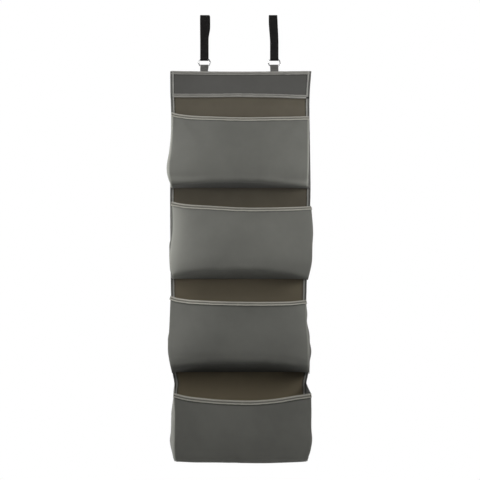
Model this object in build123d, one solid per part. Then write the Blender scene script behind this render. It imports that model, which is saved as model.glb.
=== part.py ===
"""Hanging fabric shoe organizer: a long back panel with a stiffened header, four
stacked bellows pockets, two wire rings and two hook-and-loop straps that close
round a closet rod.

Units are millimetres. The origin is on the closet rod's axis, midway between the
two straps. +X runs along the rod, +Y points behind the organizer, +Z is up.
"""
import math
import os

from build123d import *

os.makedirs("parts", exist_ok=True)

# ---- driving dimensions ------------------------------------------------------
ROD_R = 16.0             # closet rod the straps close round
STRAP_X = 83.75          # strap centre to the middle of the mount
WEB_W = 20.0             # webbing width
WEB_T = 1.4              # webbing thickness
PAD_W, PAD_T = 18.0, 1.0  # hook and loop pads
JOIN_Z = -45.0           # where the strap's two layers come together
FOLD_Z = -91.4           # centre line of the strap's bottom fold

RING_WIRE = 2.4
RING_TOP, RING_BOT = -88.9, -103.9
RING_HALF_BAR, RING_HALF_W = 11.0, 14.6

TAB_W, TAB_T = 20.0, 0.8
TAB_TOP = -101.6         # centre line of the tab's loop over the ring

PANEL_X = 3.75           # the panel's middle in X
HALF_W = 170.0           # half the panel's width over its bindings
CLOTH = 0.8              # cloth and binding tape
TAPE = 9.0               # how far each binding reaches over the cloth
TOP_Z = -117.0           # top edge of the header
HEADER_Z = -180.1        # lower bound edge of the header
BOARD_T = 1.2            # stiffener board
FOLD_GAP = 1.0           # half the clear gap at each fold line
FOLDS = [-197.5, -413.8, -638.4, -863.4]   # fold lines between the pockets
END_Z = -1054.4          # lower edge of the back panel

GUSSET_X = 167.0         # inner face of the side gussets
FRONT_HALF = 166.4       # half width of the swinging front
# mouth at its ends, mouth in the middle, its y, belly y, knee z, lower front z, back seam z
POCKETS = [
    dict(ends=-220.2, mouth=-229.3, my=-35.0, by=-84.6, knee=-324.4, low=-380.1, seam=-396.6),
    dict(ends=-434.7, mouth=-442.9, my=-36.0, by=-84.6, knee=-540.1, low=-597.4, seam=-617.0),
    dict(ends=-663.6, mouth=-669.8, my=-38.0, by=-84.6, knee=-765.2, low=-821.1, seam=-844.8),
    dict(ends=-882.0, mouth=-898.3, my=-76.0, by=-90.6, knee=-965.7, low=-1045.9, seam=-1053.4),
]
BELLY_R = 24.0           # rounding of the lower front edge
RISE = 27.0              # height of the front's hinge line above its lower edge
HINGE_GAP = 1.3

# The pockets stand out to the front, so the whole organizer hangs leaning back until
# its weight is straight below the rings. It is drawn upright and turned at the end.
LEAN = 3.27              # degrees about the lower bar of the rings


# ---- profile tools (all profiles are in the YZ plane) -------------------------
def _unit(a, b):
    d = math.hypot(b[0] - a[0], b[1] - a[1])
    return ((b[0] - a[0]) / d, (b[1] - a[1]) / d)


def _edges(pts, radii, closed=False):
    """Lines and tangent arcs through pts, each inner corner rounded by its radius."""
    n = len(pts)
    ends_in, ends_out, arcs = [None] * n, [None] * n, [None] * n
    for i in range(n):
        inner = closed or 0 < i < n - 1
        r = radii[i] if inner else 0.0
        p = pts[i]
        if not inner or r <= 0.02:
            ends_in[i] = ends_out[i] = p
            continue
        u = _unit(pts[i - 1], p)
        v = _unit(p, pts[(i + 1) % n])
        cross = u[0] * v[1] - u[1] * v[0]
        dot = max(-1.0, min(1.0, u[0] * v[0] + u[1] * v[1]))
        turn = math.atan2(cross, dot)
        if abs(turn) < 1e-6:
            ends_in[i] = ends_out[i] = p
            continue
        t = r * math.tan(abs(turn) / 2)
        a = (p[0] - u[0] * t, p[1] - u[1] * t)
        b = (p[0] + v[0] * t, p[1] + v[1] * t)
        bis = (v[0] - u[0], v[1] - u[1])
        k = math.hypot(*bis)
        d = r / math.cos(turn / 2) - r
        m = (p[0] + bis[0] / k * d, p[1] + bis[1] / k * d)
        ends_in[i], ends_out[i], arcs[i] = a, b, m
    out = []
    P = lambda q: Vector(0, q[0], q[1])
    for i in range(n):
        if arcs[i] is not None:
            out.append(Edge.make_three_point_arc(P(ends_in[i]), P(arcs[i]), P(ends_out[i])))
        j = (i + 1) % n
        if j == 0 and not closed:
            break
        a, b = ends_out[i], ends_in[j]
        if math.hypot(b[0] - a[0], b[1] - a[1]) > 1e-5:
            out.append(Edge.make_line(P(a), P(b)))
    return out, ends_out[0], ends_in[-1]


def _offset(pts, d):
    """Open polyline moved d to its left."""
    n = len(pts)
    dirs = [_unit(pts[i], pts[i + 1]) for i in range(n - 1)]
    nor = [(-u[1], u[0]) for u in dirs]
    out = [(pts[0][0] + nor[0][0] * d, pts[0][1] + nor[0][1] * d)]
    for i in range(1, n - 1):
        a, b = nor[i - 1], nor[i]
        s = 1 + a[0] * b[0] + a[1] * b[1]
        out.append((pts[i][0] + (a[0] + b[0]) / s * d, pts[i][1] + (a[1] + b[1]) / s * d))
    out.append((pts[-1][0] + nor[-1][0] * d, pts[-1][1] + nor[-1][1] * d))
    return out


def _offset_radii(pts, radii, d):
    out = [0.0]
    for i in range(1, len(pts) - 1):
        u, v = _unit(pts[i - 1], pts[i]), _unit(pts[i], pts[i + 1])
        left = (u[0] * v[1] - u[1] * v[0]) > 0
        out.append(radii[i] - d if left else radii[i] + d)
    return out + [0.0]


def strip(pts, radii, t, x0, x1):
    """A sheet of thickness t whose middle follows pts, from x0 to x1."""
    left, right = _offset(pts, t / 2), _offset(pts, -t / 2)
    le, l0, l1 = _edges(left, _offset_radii(pts, radii, t / 2))
    re, r0, r1 = _edges(right, _offset_radii(pts, radii, -t / 2))
    P = lambda q: Vector(0, q[0], q[1])
    caps = [Edge.make_line(P(l0), P(r0)), Edge.make_line(P(l1), P(r1))]
    face = Face(Wire(le + re + caps))
    return Solid.extrude(face, Vector(x1 - x0, 0, 0)).moved(Location((x0, 0, 0)))


def plate(pts, radii, x0, x1):
    """A flat piece with the closed outline pts, from x0 to x1."""
    edges, _, _ = _edges(pts, radii, closed=True)
    return Solid.extrude(Face(Wire(edges)), Vector(x1 - x0, 0, 0)).moved(Location((x0, 0, 0)))


def block(x0, x1, y0, y1, z0, z1):
    return Solid.make_box(x1 - x0, y1 - y0, z1 - z0, Plane(origin=(x0, y0, z0)))


def arc_points(r, a0, a1, n):
    """Corners of the polygon round an arc; rounding each by r gives the arc itself."""
    step = (a1 - a0) / n
    R = r / math.cos(math.radians(step) / 2)
    pts = [(r * math.cos(math.radians(a0)), r * math.sin(math.radians(a0)))]
    for i in range(n):
        a = math.radians(a0 + (i + 0.5) * step)
        pts.append((R * math.cos(a), R * math.sin(a)))
    pts.append((r * math.cos(math.radians(a1)), r * math.sin(math.radians(a1))))
    return pts


def save(name, shape):
    export_step(shape, f"parts/{name}.step")


def hang(name, shape):
    """Save a piece of the organizer itself, leaning back as it hangs from the rings."""
    save(name, shape.rotate(Axis((0, 0, RING_BOT), (1, 0, 0)), LEAN))


# ---- straps -------------------------------------------------------------------
RC = ROD_R + WEB_T / 2


def tangent_angle(q, side):
    d = math.hypot(*q)
    return math.degrees(math.atan2(q[1], q[0])) + side * math.degrees(math.acos(RC / d))


BASE_Y = -WEB_T / 2
back_q = (BASE_Y, JOIN_Z)
back_a = tangent_angle(back_q, +1)
base_end = 90 - math.degrees(math.asin(2.4 / RC))
arc = arc_points(RC, back_a, base_end, 3)
SEWN_Y = WEB_T / 2 + 0.1       # the sewn short end, just behind the main leg
base_pts = ([(SEWN_Y, -68.0), (SEWN_Y, -83.0), (2.5, -86.6), (2.5, FOLD_Z),
             (-2.5, FOLD_Z), (-2.5, -86.6), (BASE_Y, -83.0), back_q] + arc)
base_radii = [0, 3.0, 2.0, 2.0, 2.0, 2.0, 3.0, 25.0, 0] + [RC] * 3 + [0]

TAIL_Y = BASE_Y - WEB_T / 2 - 0.1 - 2 * PAD_T - WEB_T / 2
front_q = (TAIL_Y, JOIN_Z)
front_a = tangent_angle(front_q, -1) + 360
tail_start = 90 + math.degrees(math.asin(0.6 / RC))
arc = arc_points(RC, tail_start, front_a, 3)
tail_pts = arc + [front_q, (TAIL_Y, -85.0)]
tail_radii = [0] + [RC] * 3 + [0, 25.0, 0]
LOOP_Y = BASE_Y - WEB_T / 2 - PAD_T
HOOK_Y = LOOP_Y - 0.1 - PAD_T

for side, cx in (("left", -STRAP_X), ("right", STRAP_X)):
    x0, x1 = cx - WEB_W / 2, cx + WEB_W / 2
    save(f"{side}_strap", strip(base_pts, base_radii, WEB_T, x0, x1))
    save(f"{side}_strap_tail", strip(tail_pts, tail_radii, WEB_T, x0, x1))
    p0, p1 = cx - PAD_W / 2, cx + PAD_W / 2
    save(f"{side}_loop_pad", block(p0, p1, LOOP_Y, LOOP_Y + PAD_T, -81.5, -51.0))
    save(f"{side}_hook_pad", block(p0, p1, HOOK_Y, HOOK_Y + PAD_T, -84.0, -51.0))

# ---- wire rings ----------------------------------------------------------------
mid = (RING_TOP + RING_BOT) / 2
hexa = [(-RING_HALF_BAR, RING_TOP), (RING_HALF_BAR, RING_TOP), (RING_HALF_W, mid),
        (RING_HALF_BAR, RING_BOT), (-RING_HALF_BAR, RING_BOT), (-RING_HALF_W, mid)]
hex_r = [3.0, 3.0, 4.0, 3.0, 3.0, 4.0]
flat, _, _ = _edges(hexa, hex_r, closed=True)
ring_path = Wire(flat).rotate(Axis.Z, -90)          # from the YZ plane to the XZ plane
ring_path = ring_path.moved(Location((0, 0, 0)))
start = ring_path.edges().sort_by(Axis.Z)[-1]
ring_face = Plane(origin=ring_path @ 0, z_dir=ring_path % 0) * Circle(RING_WIRE / 2)
ring = Solid.sweep(ring_face.face(), ring_path)
for side, cx in (("left", -STRAP_X), ("right", STRAP_X)):
    save(f"{side}_ring", ring.moved(Location((cx, 0, 0))))

# ---- header --------------------------------------------------------------------
# layers from front to back: cloth, board, the tabs' two legs, back panel
TAB_Y = TAB_T / 2 + 0.05       # middle of each leg
Y_TAB0, Y_TAB1 = -TAB_T - 0.1, TAB_T + 0.1
Y_BOARD = Y_TAB0 - BOARD_T
Y_FRONT = Y_BOARD - CLOTH
Y_BACK = Y_TAB1 + CLOTH
XL, XR = PANEL_X - HALF_W, PANEL_X + HALF_W
IL, IR = XL + TAPE, XR - TAPE                # clear width between the side tapes
CL, CR = XL + CLOTH, XR - CLOTH              # the cloth's own width

tab_pts = [(-TAB_Y, -132.0), (-TAB_Y, -110.5), (-2.2, -107.0), (-2.2, TAB_TOP),
           (2.2, TAB_TOP), (2.2, -107.0), (TAB_Y, -110.5), (TAB_Y, -132.0)]
tab_radii = [0, 3.0, 1.8, 1.8, 1.8, 1.8, 3.0, 0]
for side, cx in (("left", -STRAP_X), ("right", STRAP_X)):
    hang(f"{side}_tab", strip(tab_pts, tab_radii, TAB_T, cx - TAB_W / 2, cx + TAB_W / 2))

header_top = TOP_Z - CLOTH
hang("back_panel_header", block(CL, CR, Y_TAB1, Y_BACK, FOLDS[0] + FOLD_GAP, header_top))
hang("header_front", block(CL, CR, Y_FRONT, Y_BOARD, HEADER_Z + CLOTH, header_top))
hang("header_stiffener", block(CL + 4, CR - 4, Y_BOARD, Y_TAB0, HEADER_Z + 11.0, header_top - 1))

outer = block(IL, IR, Y_FRONT - CLOTH, Y_BACK + CLOTH, TOP_Z - TAPE, TOP_Z)
inner = block(IL - 1, IR + 1, Y_FRONT, Y_BACK, TOP_Z - TAPE - 1, header_top)
top_binding = outer - inner
for cx in (-STRAP_X, STRAP_X):
    top_binding = top_binding - block(cx - TAB_W / 2 - 0.2, cx + TAB_W / 2 + 0.2, -1.0, 1.0,
                                      header_top - 1, TOP_Z + 1)
hang("top_binding", top_binding)

outer = block(IL, IR, Y_FRONT - CLOTH, Y_BOARD + CLOTH, HEADER_Z, HEADER_Z + TAPE)
inner = block(IL - 1, IR + 1, Y_FRONT, Y_BOARD, HEADER_Z + CLOTH, HEADER_Z + TAPE + 1)
hang("header_binding", outer - inner)

for side, s in (("left", -1), ("right", 1)):
    edge = XL if s < 0 else XR
    lo, hi = sorted((edge, edge - s * TAPE))
    clo, chi = sorted((edge - s * CLOTH, edge - s * (TAPE + 1)))
    # round all the layers down to the header's lower edge, then round the back panel alone
    low = FOLDS[0] + FOLD_GAP
    tape = (block(lo, hi, Y_FRONT - CLOTH, Y_BACK + CLOTH, HEADER_Z, TOP_Z)
            + block(lo, hi, Y_TAB1 - CLOTH, Y_BACK + CLOTH, low, HEADER_Z))
    tape = tape - block(clo, chi, Y_FRONT, Y_BACK, HEADER_Z - 0.0, header_top)
    tape = tape - block(clo, chi, Y_TAB1, Y_BACK, low - 1, HEADER_Z + 1)
    hang(f"{side}_side_binding_header", tape)

# ---- pockets -------------------------------------------------------------------
for n, p in enumerate(POCKETS, 1):
    top = FOLDS[n - 1] - FOLD_GAP
    bottom = FOLDS[n] + FOLD_GAP if n < 4 else END_Z
    hang(f"back_panel_{n}", block(CL, CR, Y_TAB1, Y_BACK, bottom, top))
    for side, s in (("left", -1), ("right", 1)):
        edge = XL if s < 0 else XR
        lo, hi = sorted((edge, edge - s * TAPE))
        clo, chi = sorted((edge - s * CLOTH, edge - s * (TAPE + 1)))
        tape = (block(lo, hi, Y_TAB1 - CLOTH, Y_BACK + CLOTH, bottom, top)
                - block(clo, chi, Y_TAB1, Y_BACK, bottom - 1, top + 1))
        hang(f"{side}_side_binding_{n}", tape)

    h = CLOTH / 2
    hinge_z = p["low"] + RISE
    # floor: from its seam on the back panel to the rounded lower front edge
    floor = strip([(0.0, p["seam"] + h), (p["by"], p["low"] + h), (p["by"], hinge_z - HINGE_GAP)],
                  [0, BELLY_R, 0], CLOTH, PANEL_X - GUSSET_X, PANEL_X + GUSSET_X)
    flange = block(IL, IR, -0.05, Y_TAB1, p["seam"] - (1.0 if n == 4 else 7.0), p["seam"] + CLOTH)
    hang(f"pocket_{n}_floor", floor + flange)
    # front: from the hinge line up over the belly to the mouth
    front_pts = [(p["by"], hinge_z + HINGE_GAP), (p["by"], p["knee"]), (p["my"], p["mouth"])]
    front = strip(front_pts, [0, 90.0, 0], CLOTH, PANEL_X - FRONT_HALF, PANEL_X + FRONT_HALF)
    hang(f"pocket_{n}_front", front)
    # mouth binding: folded over the front's top edge
    u = _unit((p["by"], p["knee"]), (p["my"], p["mouth"]))
    tip = (p["my"] + u[0] * CLOTH, p["mouth"] + u[1] * CLOTH)
    low_pt = (tip[0] - u[0] * TAPE, tip[1] - u[1] * TAPE)
    under = (tip[0] - u[0] * (TAPE + 2), tip[1] - u[1] * (TAPE + 2))
    rim = strip([low_pt, tip], [0, 0], 3 * CLOTH, PANEL_X - FRONT_HALF, PANEL_X + FRONT_HALF)
    slot = strip([under, (p["my"], p["mouth"])], [0, 0], CLOTH,
                 PANEL_X - FRONT_HALF - 1, PANEL_X + FRONT_HALF + 1)
    hang(f"pocket_{n}_mouth_binding", rim - slot)
    # gussets: side walls sewn to the side bindings
    b = p["by"] - h
    k = (b, p["knee"])
    m = (p["my"] - h - 0.4, p["mouth"] + 1.0)
    outline = [(0.0, p["ends"]), m, k, (b, p["low"]), (0.0, p["seam"])]
    for side, s in (("left", -1), ("right", 1)):
        xs = sorted((PANEL_X + s * GUSSET_X, PANEL_X + s * (GUSSET_X + CLOTH)))
        hang(f"pocket_{n}_{side}_gusset", plate(outline, [0, 2.0, 90.0, BELLY_R + h, 0], xs[0], xs[1]))
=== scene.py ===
import math

import bpy
import numpy as np
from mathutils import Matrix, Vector


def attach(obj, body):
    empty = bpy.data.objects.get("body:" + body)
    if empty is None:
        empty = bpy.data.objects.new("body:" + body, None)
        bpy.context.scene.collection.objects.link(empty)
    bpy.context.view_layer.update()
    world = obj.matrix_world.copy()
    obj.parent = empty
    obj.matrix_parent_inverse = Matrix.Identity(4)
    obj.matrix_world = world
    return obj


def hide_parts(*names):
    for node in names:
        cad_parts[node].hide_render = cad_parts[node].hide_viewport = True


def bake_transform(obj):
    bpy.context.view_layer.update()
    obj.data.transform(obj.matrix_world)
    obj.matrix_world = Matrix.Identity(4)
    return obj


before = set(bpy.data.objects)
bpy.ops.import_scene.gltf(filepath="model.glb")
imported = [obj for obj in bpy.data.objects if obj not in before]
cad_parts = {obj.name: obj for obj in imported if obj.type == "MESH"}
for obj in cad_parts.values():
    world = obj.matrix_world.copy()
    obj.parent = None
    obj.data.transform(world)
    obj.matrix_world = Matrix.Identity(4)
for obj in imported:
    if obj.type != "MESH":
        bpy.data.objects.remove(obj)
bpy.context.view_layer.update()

MM = 0.001
PX = 3.75            # the panel's middle in X, mm
CAM = (1.6, -2400.0, -522.0)
LEAN = math.radians(3.27)    # the organizer leans back until its weight is below the rings
HANG_Z = -103.9
COS, SIN = math.cos(LEAN), math.sin(LEAN)
hanging = [True]             # off while the straps are made, which stay upright
rng = np.random.default_rng(41)


# ---------------------------------------------------------------- numeric helpers
def hung(P):
    """Points of the organizer, drawn upright, as it hangs: leaning back about the rings' lower bar."""
    P = np.array(P, float)
    y, z = P[..., 1].copy(), P[..., 2] - HANG_Z
    P[..., 1], P[..., 2] = y * COS - z * SIN, HANG_Z + y * SIN + z * COS
    return P


def drawn(P):
    """The reverse of hung."""
    P = np.array(P, float)
    y, z = P[..., 1].copy(), P[..., 2] - HANG_Z
    P[..., 1], P[..., 2] = y * COS + z * SIN, HANG_Z - y * SIN + z * COS
    return P


def depth(y, z):
    """Distance from the camera, in m, of a drawn point at (y, z)."""
    return (np.asarray(y, float) * COS - (np.asarray(z, float) - HANG_Z) * SIN - CAM[1]) / 1000.0


def across(px, y, z):
    """x, in mm, of a drawn point at (y, z) that shows at image place px."""
    return CAM[0] + (np.asarray(px, float) - 240.0) * depth(y, z)


def height_of(py, y=0.0):
    """z, in mm, of a drawn point at depth y that shows at image height py."""
    q, y = (np.asarray(py, float) - 240.0) / 1000.0, np.asarray(y, float)
    return HANG_Z + (CAM[2] - HANG_Z - y * SIN - q * (y * COS - CAM[1])) / (COS - q * SIN)


def row_of(z, y):
    """Image height at which a drawn point at (y, z) shows."""
    y, z = np.asarray(y, float), np.asarray(z, float)
    return 240.0 - (HANG_Z + y * SIN + (z - HANG_Z) * COS - CAM[2]) / depth(y, z)


def at(x, y, z):
    """A drawn point, in mm, as a hung place in metres."""
    return tuple(float(v) * MM for v in hung([x, y, z]))


def curve(table, x):
    """Smooth curve through (x, value) pairs."""
    t = np.array(table, float)
    xs, ys = t[:, 0], t[:, 1]
    x = np.clip(np.asarray(x, float), xs[0], xs[-1])
    m = np.gradient(ys, xs)
    i = np.clip(np.searchsorted(xs, x) - 1, 0, len(xs) - 2)
    h = xs[i + 1] - xs[i]
    s = (x - xs[i]) / h
    return ((2 * s**3 - 3 * s**2 + 1) * ys[i] + (s**3 - 2 * s**2 + s) * h * m[i]
            + (-2 * s**3 + 3 * s**2) * ys[i + 1] + (s**3 - s**2) * h * m[i + 1])


def through(points, k):
    """Catmull-Rom through control points, read at index k."""
    p = np.array(points, float)
    n = len(p)
    k = np.clip(np.asarray(k, float), 0, n - 1 - 1e-9)
    i = k.astype(int)
    s = (k - i)[..., None]
    q = np.vstack([2 * p[0] - p[1], p, 2 * p[-1] - p[-2]])
    a, b, c, d = q[i], q[i + 1], q[i + 2], q[i + 3]
    return 0.5 * (2 * b + (c - a) * s + (2 * a - 5 * b + 4 * c - d) * s**2 + (3 * b - a - 3 * c + d) * s**3)


class Ripple:
    """Smooth seeded waves over two coordinates in mm."""

    def __init__(self, seed, lx, lz, n=7):
        r = np.random.default_rng(seed)
        self.k = [(2 * math.pi / (lx * r.uniform(0.7, 2.2)) * r.choice([-1, 1]),
                   2 * math.pi / (lz * r.uniform(0.7, 2.2)), r.uniform(0, 6.28), r.uniform(0.5, 1.0)) for _ in range(n)]

    def __call__(self, x, z):
        return sum(a * np.sin(kx * x + kz * z + p) for kx, kz, p, a in self.k) / math.sqrt(len(self.k))


def smooth(a, b, x):
    t = np.clip((np.asarray(x, float) - a) / (b - a), 0, 1)
    return t * t * (3 - 2 * t)


# ---------------------------------------------------------------- mesh helpers
def new_mesh(name, verts, faces, st=None, sharp=40, tone=None):
    me = bpy.data.meshes.new(name)
    verts = hung(verts) if hanging[0] else np.asarray(verts, float)
    me.from_pydata((verts * MM).tolist(), [], faces)
    me.update()
    for p in me.polygons:
        p.use_smooth = True
    if sharp:
        me.set_sharp_from_angle(angle=math.radians(sharp))
    if st is not None:
        layer = me.uv_layers.new(name="weave")
        idx = np.zeros(len(me.loops), int)
        me.loops.foreach_get("vertex_index", idx)
        layer.data.foreach_set("uv", np.asarray(st, np.float32)[idx].ravel())
    if tone is not None:
        layer = me.attributes.new("tone", "FLOAT", "POINT")
        layer.data.foreach_set("value", np.asarray(tone, np.float32).ravel())
    ob = bpy.data.objects.new(name, me)
    bpy.context.scene.collection.objects.link(ob)
    return ob


def grid_normals(P):
    du = np.gradient(P, axis=1)
    dv = np.gradient(P, axis=0)
    n = np.cross(du, dv)
    L = np.linalg.norm(n, axis=2, keepdims=True)
    return n / np.maximum(L, 1e-9)


def lengths(P):
    """Distances along rows and columns, as weave coordinates in mm."""
    du = np.linalg.norm(np.diff(P, axis=1), axis=2).mean(0)
    dv = np.linalg.norm(np.diff(P, axis=0), axis=2).mean(1)
    U = np.concatenate([[0], np.cumsum(du)])
    V = np.concatenate([[0], np.cumsum(dv)])
    return np.stack(np.meshgrid(U, V), -1)


def sheet_mesh(name, P, t=0.8, st=None, st0=(0, 0), flip=False, tone=None, front_only=False):
    """A closed sheet of thickness t around the grid P (rows, columns, 3), in mm."""
    P = np.asarray(P, float)
    nr, nc = P.shape[:2]
    N = grid_normals(P)
    if flip:
        N = -N
    if st is None:
        st = lengths(P) + np.array(st0, float)
    A = (P + N * t / 2).reshape(-1, 3)
    B = (P - N * t / 2).reshape(-1, 3)
    n = nr * nc
    idx = np.arange(n).reshape(nr, nc)
    faces = []
    a, b, c, d = idx[:-1, :-1].ravel(), idx[:-1, 1:].ravel(), idx[1:, 1:].ravel(), idx[1:, :-1].ravel()
    if flip:
        faces += np.stack([d, c, b, a], 1).tolist()
        faces += np.stack([a + n, b + n, c + n, d + n], 1).tolist()
    else:
        faces += np.stack([a, b, c, d], 1).tolist()
        faces += np.stack([d + n, c + n, b + n, a + n], 1).tolist()
    ring = np.concatenate([idx[0, :], idx[1:, -1], idx[-1, -2::-1], idx[-2:0:-1, 0]])
    nx = np.roll(ring, -1)
    if flip:
        faces += np.stack([ring, nx, nx + n, ring + n], 1).tolist()
    else:
        faces += np.stack([nx, ring, ring + n, nx + n], 1).tolist()
    s = np.vstack([st.reshape(-1, 2)] * 2) * MM
    tone = np.zeros(n) if tone is None else np.clip(np.asarray(tone, float), -1, 1).ravel()
    sides = [tone, tone]
    if front_only:       # the face that looks to the back keeps the plain cloth
        sides[int(N[..., 1].mean() < 0)] = np.zeros(n)
    return new_mesh(name, np.vstack([A, B]), faces, s, tone=np.concatenate(sides))


def coons(top, bottom, left, right):
    """Patch between four curves; top and bottom run left to right, left and right run top to bottom."""
    nr, nc = len(left), len(top)
    v = np.linspace(0, 1, nr)[:, None, None]
    u = np.linspace(0, 1, nc)[None, :, None]
    L, R, T, B = left[:, None, :], right[:, None, :], top[None, :, :], bottom[None, :, :]
    return ((1 - u) * L + u * R + (1 - v) * T + v * B
            - ((1 - u) * (1 - v) * top[0] + u * (1 - v) * top[-1] + (1 - u) * v * bottom[0] + u * v * bottom[-1]))


def resample(P, n):
    """n points evenly spaced along the polyline P."""
    P = np.asarray(P, float)
    d = np.concatenate([[0], np.cumsum(np.linalg.norm(np.diff(P, axis=0), axis=1))])
    s = np.linspace(0, d[-1], n)
    return np.stack([np.interp(s, d, P[:, i]) for i in range(P.shape[1])], 1)


def unit(v):
    v = np.asarray(v, float)
    return v / np.maximum(np.linalg.norm(v, axis=-1, keepdims=True), 1e-9)


def thread(name, spots, dirs, ups, length=2.5, r=0.24):
    """Stitches: short rounded threads, each at a spot, along its direction."""
    ring, verts, faces = 6, [], []
    prof = [(-0.5, 0.25), (-0.40, 0.85), (0.0, 1.0), (0.40, 0.85), (0.5, 0.25)]
    for p, d, u in zip(spots, dirs, ups):
        s = np.cross(d, u)
        base = len(verts)
        for a, k in prof:
            dip = -abs(a) ** 2 * 1.1 * r * 2
            for j in range(ring):
                th = 2 * math.pi * j / ring
                verts.append(p + d * a * length + u * (dip + math.sin(th) * r * k) + s * math.cos(th) * r * k)
        m = len(prof)
        for i in range(m - 1):
            for j in range(ring):
                j2 = (j + 1) % ring
                faces.append([base + i * ring + j, base + i * ring + j2, base + (i + 1) * ring + j2, base + (i + 1) * ring + j])
        faces.append([base + j for j in range(ring)][::-1])
        faces.append([base + (m - 1) * ring + j for j in range(ring)])
    st = np.array(verts)[:, [0, 2]] * MM
    ob = new_mesh(name, verts, faces, st, sharp=None)
    bm_fix(ob)
    return ob


def bm_fix(ob):
    import bmesh
    bm = bmesh.new()
    bm.from_mesh(ob.data)
    bmesh.ops.recalc_face_normals(bm, faces=bm.faces)
    bm.to_mesh(ob.data)
    bm.free()


def folded_tape(name, path, out, edge, core, reach=9.0, t=0.8, puff=0.28, groove=0.30, seed=0, stitch=True,
                back_reach=None, pitch=3.3):
    """A tape folded over an edge. path is the cloth's edge line, out its front direction,
    edge the direction that points off the cloth. core is the thickness it is folded round."""
    n = len(path)
    out, edge = unit(out), unit(edge)
    back_reach = back_reach or reach
    b0 = core / 2 + t / 2 + 0.05
    lines = []
    for a in np.linspace(reach, 0.6, 13):              # front leg, from its free edge to the fold
        q = a / reach
        h = b0 + puff * (np.exp(-((q - 0.20) / 0.16) ** 2) + np.exp(-((q - 0.78) / 0.16) ** 2)) - groove * math.exp(-((q - 0.5) / 0.09) ** 2)
        if q > 0.97:
            h -= 0.12
        lines.append((-a, h))
    for th in np.linspace(70, -70, 7):                 # the fold
        lines.append((math.cos(math.radians(th)) * 0.9 * b0 * 0.6 - 0.1, math.sin(math.radians(th)) * b0 * 1.02))
    for a in np.linspace(0.6, back_reach, 13):
        q = a / back_reach
        h = b0 + puff * 0.8 * (np.exp(-((q - 0.20) / 0.16) ** 2) + np.exp(-((q - 0.78) / 0.16) ** 2)) - groove * 0.8 * math.exp(-((q - 0.5) / 0.09) ** 2)
        lines.append((-a, -h))
    prof = np.array(lines)
    rp = Ripple(seed + 7, 24, 24)
    d = np.concatenate([[0], np.cumsum(np.linalg.norm(np.diff(path, axis=0), axis=1))])
    wob = 0.22 * rp(d, d * 0.3)
    pk = 0.10 * np.sin(2 * math.pi * d / 6.6 + rp(d * 0.5, d) * 1.2)
    G = np.zeros((n, len(prof), 3))
    for j, (a, b) in enumerate(prof):
        side = 1 if b > 0 else -1
        G[:, j] = path + edge * (a + wob * (0.4 + 0.6 * abs(a) / reach))[:, None] + out * (b + side * pk * min(1, abs(a) / 3))[:, None]
    seg = np.concatenate([[0], np.cumsum(np.linalg.norm(np.diff(prof, axis=0), axis=1))])
    st = np.stack(np.meshgrid(seg, d), -1)
    ob = sheet_mesh(name, G, t, st)
    # the sheet's own normals have to point away from the fold's inside
    check_outward(ob)
    made = [ob]
    if stitch:
        m = max(2, int(d[-1] / pitch))
        ds = (np.arange(m) + 0.5) * d[-1] / m
        spots, dirs, ups = [], [], []
        T = unit(np.gradient(path, axis=0))
        for sgn, rr in ((1, reach), (-1, back_reach)):
            for x in ds:
                f = lambda arr: np.array([np.interp(x, d, arr[:, i]) for i in range(3)])
                base = f(path) + f(edge) * (-rr * 0.5)
                h = b0 + t / 2 - groove * (1 if sgn > 0 else 0.8) + 0.08
                spots.append(base + f(out) * sgn * h)
                dirs.append(unit(f(T)))
                ups.append(unit(f(out)) * sgn)
        made.append(thread(name + "_stitches", spots, dirs, ups, length=pitch * 0.74))
    return made, d[-1], seg[-1]


def check_outward(ob):
    bm_fix(ob)


# ---------------------------------------------------------------- materials
def nodes_of(name):
    m = bpy.data.materials.new(name)
    m.use_nodes = True
    nt = m.node_tree
    return m, nt, nt.nodes["Principled BSDF"]


def n_(nt, kind, **kw):
    n = nt.nodes.new(kind)
    for k, v in kw.items():
        setattr(n, k, v)
    return n


def math_(nt, op, a, b=None, clamp=False):
    n = n_(nt, "ShaderNodeMath", operation=op, use_clamp=clamp)
    for i, v in enumerate((a, b)):
        if v is None:
            continue
        if isinstance(v, (int, float)):
            n.inputs[i].default_value = v
        else:
            nt.links.new(v, n.inputs[i])
    return n.outputs[0]


def mix_(nt, fac, a, b, blend="MIX"):
    n = n_(nt, "ShaderNodeMix", data_type="RGBA", blend_type=blend)
    if isinstance(fac, (int, float)):
        n.inputs[0].default_value = fac
    else:
        nt.links.new(fac, n.inputs[0])
    for i, v in ((6, a), (7, b)):
        if isinstance(v, (tuple, list)):
            n.inputs[i].default_value = (*v[:3], 1)
        else:
            nt.links.new(v, n.inputs[i])
    return n.outputs[2]


def ramp_(nt, x, lo, hi, a=0.0, b=1.0):
    n = n_(nt, "ShaderNodeMapRange")
    n.interpolation_type = "SMOOTHSTEP"
    nt.links.new(x, n.inputs[0])
    for i, v in ((1, lo), (2, hi), (3, a), (4, b)):
        n.inputs[i].default_value = v
    return n.outputs[0]


def noise_(nt, vec, scale, detail=3.0, rough=0.55, out=0):
    n = n_(nt, "ShaderNodeTexNoise")
    n.inputs["Scale"].default_value = scale
    n.inputs["Detail"].default_value = detail
    n.inputs["Roughness"].default_value = rough
    nt.links.new(vec, n.inputs["Vector"])
    return n.outputs[out]


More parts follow.
